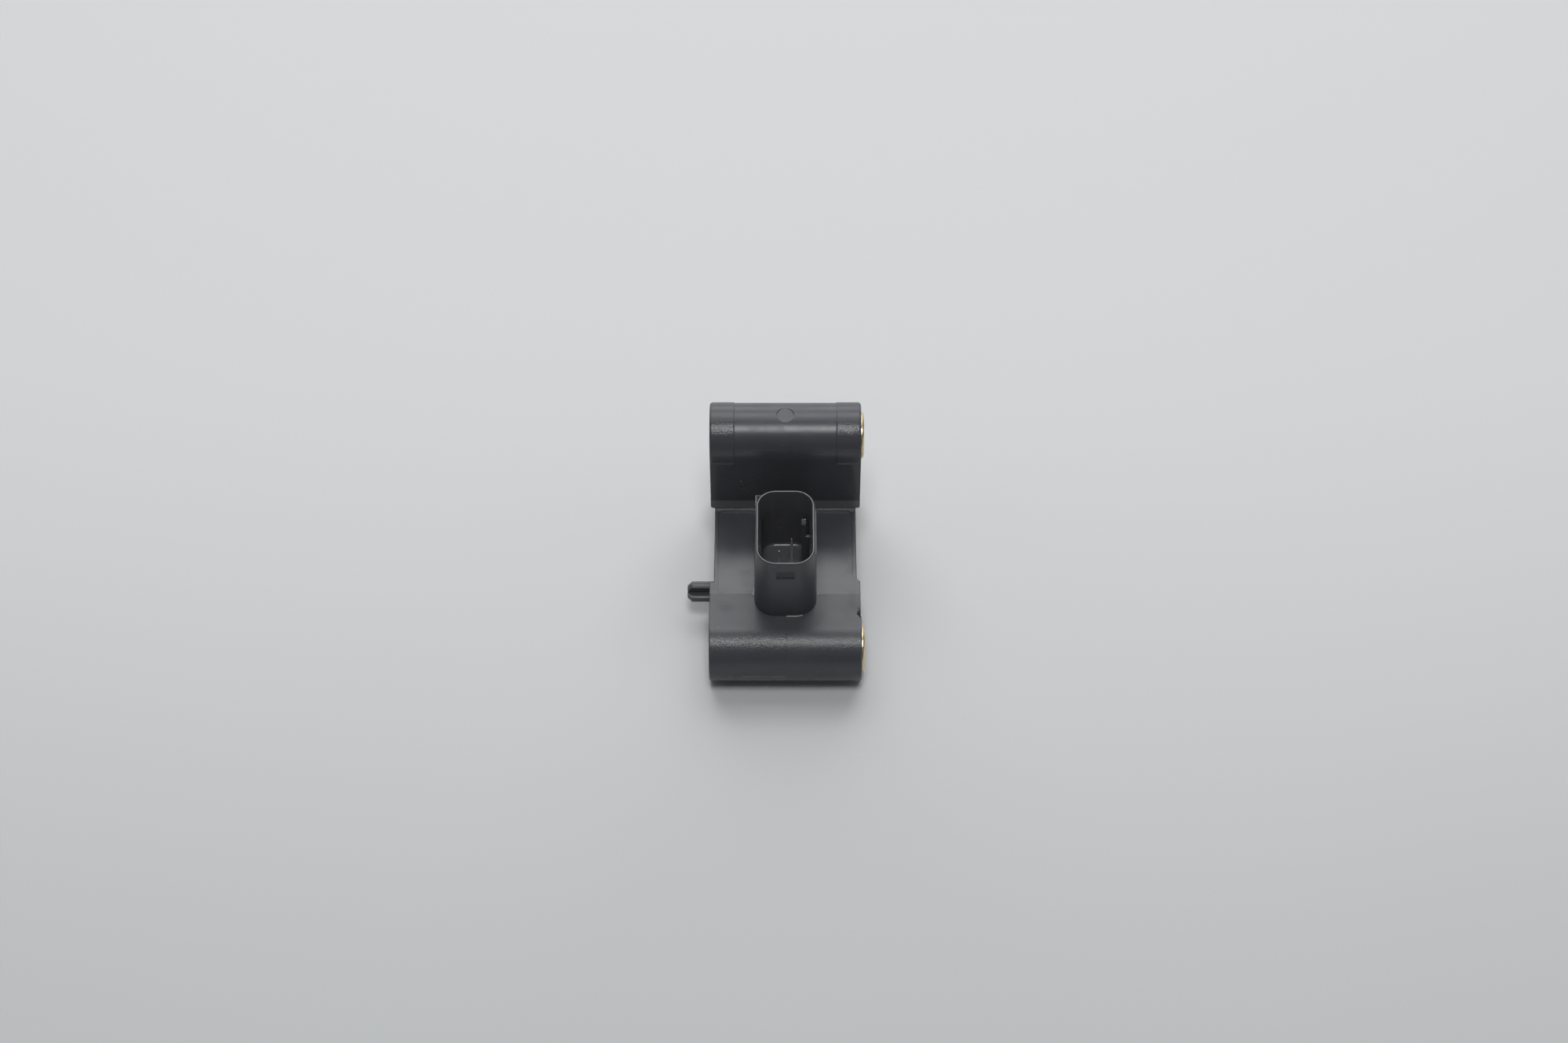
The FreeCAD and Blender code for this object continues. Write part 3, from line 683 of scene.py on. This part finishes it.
work = bmesh.new()
foot, crest = BARREL_R - SUNK, BARREL_R + LINE_HIGH
peak = (LINE_X, LINE_START, crest)
end = section(work, (LINE_X - LINE_HALF, LINE_START, foot), peak, (LINE_X + LINE_HALF, LINE_START, foot))
end = pushed(work, end, (0, -LINE_START, 0))
spun(work, end, LOWER_BOLT, (1, 0, 0), LINE_TURN, 16)
parting_line = piece("barrel_parting_line", closed(work), "charcoal_plastic")
charcoal.coat(parting_line)
print("parting line faces:", len(parting_line.data.polygons))

# %% [markdown]
# Low on the barrel's front a second line was trimmed, and only dashes of it are left. They are short straight
# ridges in a row, in the pale flash.

# %% Leave the front dashes
FRONT_DASHES = ((4.4, 4.9), (7.0, 8.3), (8.45, 10.9), (11.4, 12.2), (13.3, 16.3))
DASH_BELOW = math.radians(6)
DASH_HIGH = 0.03

work = bmesh.new()
dash_y, dash_z = -BARREL_R * math.cos(DASH_BELOW), -BARREL_R * math.sin(DASH_BELOW)
dash_profile = [(SUNK, -LINE_HALF), (-DASH_HIGH, 0), (SUNK, LINE_HALF)]
for first, last in FRONT_DASHES:
    end = section(work, *[(first, dash_y + out, dash_z + up) for out, up in dash_profile])
    pushed(work, end, (last - first, 0, 0))
dashes = piece("front_flash_line", closed(work), "charcoal_plastic")
flash.coat(dashes)
print("front dashes:", len(FRONT_DASHES), "with", len(dashes.data.polygons), "faces")

# %% [markdown]
# ## The hollow at the socket's floor
# The socket's floor runs into its wall in a small hollow curve, which shows as a bright arc when looking in.
# An inner edge could be bevelled as the outer ones are, but the curve only shows where the back of the floor
# catches the light. So a small section with a quarter circle is swept along the left wall, the back and the
# right wall.

# %% Sweep the hollow
INNER_LEFT, INNER_BACK, FLOOR_Z = 11.125, 22.35, 7.3
INNER_CORNER = 3.05
HOLLOW_R, HOLLOW_STEP = 0.5, 22.5
HOLLOW_FRONT = 16.5

quarter = [math.radians(step * HOLLOW_STEP) for step in range(5)]
hollow = [
    (INNER_LEFT + HOLLOW_R - HOLLOW_R * math.sin(angle), FLOOR_Z + HOLLOW_R - HOLLOW_R * math.cos(angle))
    for angle in quarter
]
corner_x, corner_z = INNER_LEFT - SUNK, FLOOR_Z - SUNK
outline = [(hollow[0][0], corner_z)] + hollow + [(corner_x, hollow[-1][1]), (corner_x, corner_z)]
turn_x, turn_y = INNER_LEFT + INNER_CORNER, INNER_BACK - INNER_CORNER
far_x = 2 * MID_X - turn_x

work = bmesh.new()
end = section(work, *[(out, HOLLOW_FRONT, up) for out, up in outline])
end = pushed(work, end, (0, turn_y - HOLLOW_FRONT, 0))
end = spun(work, end, (turn_x, turn_y, 0), (0, 0, 1), -90, 10)
end = pushed(work, end, (far_x - turn_x, 0, 0))
end = spun(work, end, (far_x, turn_y, 0), (0, 0, 1), -90, 10)
pushed(work, end, (0, HOLLOW_FRONT - turn_y, 0))
fillet = piece("socket_floor_fillet", closed(work), "charcoal_plastic")
charcoal.coat(fillet)
print("hollow faces:", len(fillet.data.polygons))

# %% [markdown]
# ## Flash at the socket's foot
# Outside, where the socket stands on the barrel, a little flash lies along the right half of its front and
# a short way round the corner. A bump could only shade it, so it is swept too, from a section that leans
# against the wall.

# %% Sweep the foot flash
FOOT_Y, FOOT_CORNER = 3.272, 4.628
FLASH_PROFILE = ((SUNK, -SUNK), (-0.16, -SUNK), (-0.16, 0.02), (-0.06, 0.07), (0, 0.18), (SUNK, 0.18))
FLASH_TURN = 20

work = bmesh.new()
turn_x = MID_X + CORNER_AWAY.x
end = section(work, *[(LINE_X, FOOT_Y + out, BARREL_R + up) for out, up in FLASH_PROFILE])
end = pushed(work, end, (turn_x - LINE_X, 0, 0))
spun(work, end, (turn_x, FOOT_Y + FOOT_CORNER, 0), (0, 0, 1), FLASH_TURN, 6)
foot_flash = piece("socket_foot_flash", closed(work), "charcoal_plastic")
flash.coat(foot_flash)
print("foot flash faces:", len(foot_flash.data.polygons))

# %% [markdown]
# ## Nibs, burrs and a scuff
# Small nibs mark the gate on the upper barrel, the wall below it and the end of the panel's edge. Thin burrs
# stand at both sides of the socket's foot. A lump of any shape could be sculpted, but at this size a
# flattened ball, half sunk into the plastic, looks the same. The scuff and the raised edge of the panel are
# low ridges.

# %% Set the nibs
GATE_TILT = 27
PANEL_Z = 6.8
FOOT_LEFT, FOOT_RIGHT = MID_X - 6.66, MID_X + 6.66
GATE = UPPER_BOLT + Matrix.Rotation(math.radians(GATE_TILT), 3, "X") @ Vector((16.1, 0, BARREL_R))
# Each nib: its place, its half sizes and its tilt towards the front.
NIBS = {
    "panel edge": ((30.35, 9.15, BARREL_R - 0.02), (0.16, 0.1, 0.1), 0),
    "gate": (GATE, (0.14, 0.32, 0.07), GATE_TILT),
    "wall": ((6.7, 32.8, 15.8), (0.12, 0.06, 0.12), 0),
    "left burr": ((FOOT_LEFT - 0.05, 9.6, PANEL_Z), (0.22, 1.7, 0.25), 0),
    "left lump": ((FOOT_LEFT - 0.15, 9.2, PANEL_Z + 0.05), (0.3, 0.35, 0.25), 0),
    "right burr": ((FOOT_RIGHT + 0.3, 9.2, PANEL_Z), (0.2, 0.4, 0.3), 0),
}
# Each ridge: where it starts along X, how far it runs, and the corners of its section in Y and Z.
RIDGES = {
    "scuff": (5.7, 2.0, ((14.86, PANEL_Z - 0.03), (14.9, PANEL_Z + 0.015), (14.94, PANEL_Z - 0.03))),
    "panel edge": (23.2, 7.0, ((9.05, BARREL_R - SUNK), (9.12, BARREL_R + 0.02), (9.19, BARREL_R - 0.3))),
}

work = bmesh.new()
for place, half_sizes, tilt in NIBS.values():
    turned = Matrix.Rotation(math.radians(tilt), 4, "X")
    shape = Matrix.Translation(Vector(place) * MM) @ turned @ Matrix.Diagonal((*half_sizes, 1))
    bmesh.ops.create_icosphere(work, subdivisions=2, radius=MM, matrix=shape)
for first, run, profile in RIDGES.values():
    end = section(work, *[(first, *corner) for corner in profile])
    pushed(work, end, (run, 0, 0))
nibs = piece("moulding_nibs", closed(work), "charcoal_plastic")
flash.coat(nibs)
print("nibs:", len(NIBS), "ridges:", len(RIDGES), "faces:", len(nibs.data.polygons))

# %% [markdown]
# ## The welded cover
# Underneath, a plate closes the electronics chamber. It is the same kind of plastic in a plainer finish. The
# charcoal could be used again, but its masks belong to the housing, so the cover gets the same soft edges and
# a simpler mix without them.

# %% Dress the cover
COVER_DARK, COVER_LIGHT = (0.040, 0.0405, 0.045, 1), (0.050, 0.0505, 0.055, 1)
COVER_ROUND = 0.1
COVER_INSIDE = -5.3

cover_finish = Finish("cover_plastic")
cloud = cover_finish.noise(5.0)
grain = cover_finish.noise(0.25, detail=3.0)
cover_finish.surface(
    Base_Color=cover_finish.blend(cloud, COVER_DARK, COVER_LIGHT),
    Roughness=0.34 + 0.1 * grain,
    Normal=cover_finish.bump(0.004 * grain),
)
work = whole_faces("bottom_cover")
wide, thin = outer_edges(work, lambda place: place.z > COVER_INSIDE * MM)
round_edges(work, wide + thin, COVER_ROUND, 2)
cover = piece("welded_cover", work, "cover_plastic", "bottom_cover")
cover_finish.coat(cover)
print("cover faces:", len(cover.data.polygons))

# %% [markdown]
# A hot plate melts the cover's rim into the housing and squeezes out a small bead. The bead is swept round
# the seam like the flash: four straight runs and four corners, and the two ends are merged.

# %% Run the weld bead
BEAD_HALF, BEAD_HIGH = 0.16, 0.1
COVER_CORNER = 2.9
SEAM = 0.05
BEAD_MERGE = 0.005

low, high = [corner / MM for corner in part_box("bottom_cover")]
corners = [(low.x, low.y), (high.x, low.y), (high.x, high.y), (low.x, high.y)]
ways = [(1, 0), (0, 1), (-1, 0), (0, -1)]
runs = [high.x - low.x, high.y - low.y] * 2
start_x, seam_y = low.x + COVER_CORNER, low.y - SEAM
bead_profile = [(-BEAD_HALF, SUNK), (0, -BEAD_HIGH), (BEAD_HALF, SUNK)]

work = bmesh.new()
end = section(work, *[(start_x, seam_y + out, low.z + up) for out, up in bead_profile])
for i, (along_x, along_y) in enumerate(ways):
    length = runs[i] - 2 * COVER_CORNER
    end = pushed(work, end, (along_x * length, along_y * length, 0))
    corner_x, corner_y = corners[(i + 1) % 4]
    inner_x = corner_x + COVER_CORNER * (1 if corner_x == low.x else -1)
    inner_y = corner_y + COVER_CORNER * (1 if corner_y == low.y else -1)
    end = spun(work, end, (inner_x, inner_y, 0), (0, 0, 1), 90, 8)
bmesh.ops.remove_doubles(work, verts=work.verts, dist=BEAD_MERGE * MM)
bead = piece("cover_weld_bead", closed(work), "cover_plastic")
cover_finish.coat(bead)
print("weld bead faces:", len(bead.data.polygons))

# %% [markdown]
# ## The sealed electronics
# The board and its parts are shut in, so no view shows them, but the part keeps them and they keep their
# CAD shapes. Each still gets a finish with the variation of the real thing: a green mask over copper runs,
# bright solder, matt black chips and pale ceramic. One function makes them all, apart from the board.

# %% Finish the electronics
def speckled(name, first, second, grain_mm, metallic, roughness):
    """A finish that wanders between two colours, with a little relief."""
    finish = Finish(name)
    grain = finish.noise(grain_mm, detail=3.0)
    finish.surface(
        Base_Color=finish.blend(grain, (*first, 1), (*second, 1)),
        Metallic=metallic,
        Roughness=roughness + 0.15 * grain,
        Normal=finish.bump(0.01 * grain),
    )
    return finish


BOARD_GREEN, COPPER_GREEN = (0.01, 0.10, 0.045, 1), (0.03, 0.20, 0.085, 1)

laminate = Finish("board_laminate")
y = laminate.place_mm()[1]
copper = laminate.between((y * 2.4 + 1.5 * laminate.noise(6.0)).wave(), 0.55, 0.75)
laminate.surface(
    Base_Color=laminate.blend(copper, BOARD_GREEN, COPPER_GREEN),
    Roughness=0.3 + 0.1 * copper,
    Normal=laminate.bump(0.03 * copper),
)
solder = speckled("solder", (0.6, 0.61, 0.62), (0.78, 0.78, 0.78), 0.4, 1.0, 0.2)
chip_black = speckled("chip_compound", (0.016, 0.016, 0.018), (0.03, 0.03, 0.032), 0.15, 0.0, 0.5)
tan_ceramic = speckled("capacitor_ceramic", (0.48, 0.36, 0.24), (0.62, 0.48, 0.32), 0.3, 0.0, 0.4)
grey_ceramic = speckled("resistor_ceramic", (0.06, 0.06, 0.065), (0.14, 0.14, 0.15), 0.3, 0.0, 0.3)
inside = {
    "circuit_board": laminate,
    "solder_joints": solder,
    "acceleration_chip": chip_black,
    "interface_chip": chip_black,
    "protection_diode": chip_black,
    "supply_capacitor": tan_ceramic,
    "filter_capacitors": tan_ceramic,
    "line_resistors": grey_ceramic,
}
for node, finish in inside.items():
    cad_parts[node].material_slots[0].material = finish.block
print("finished inside:", sorted(inside))

# %% [markdown]
# ## The size
# The dressed part must keep the CAD part's size.
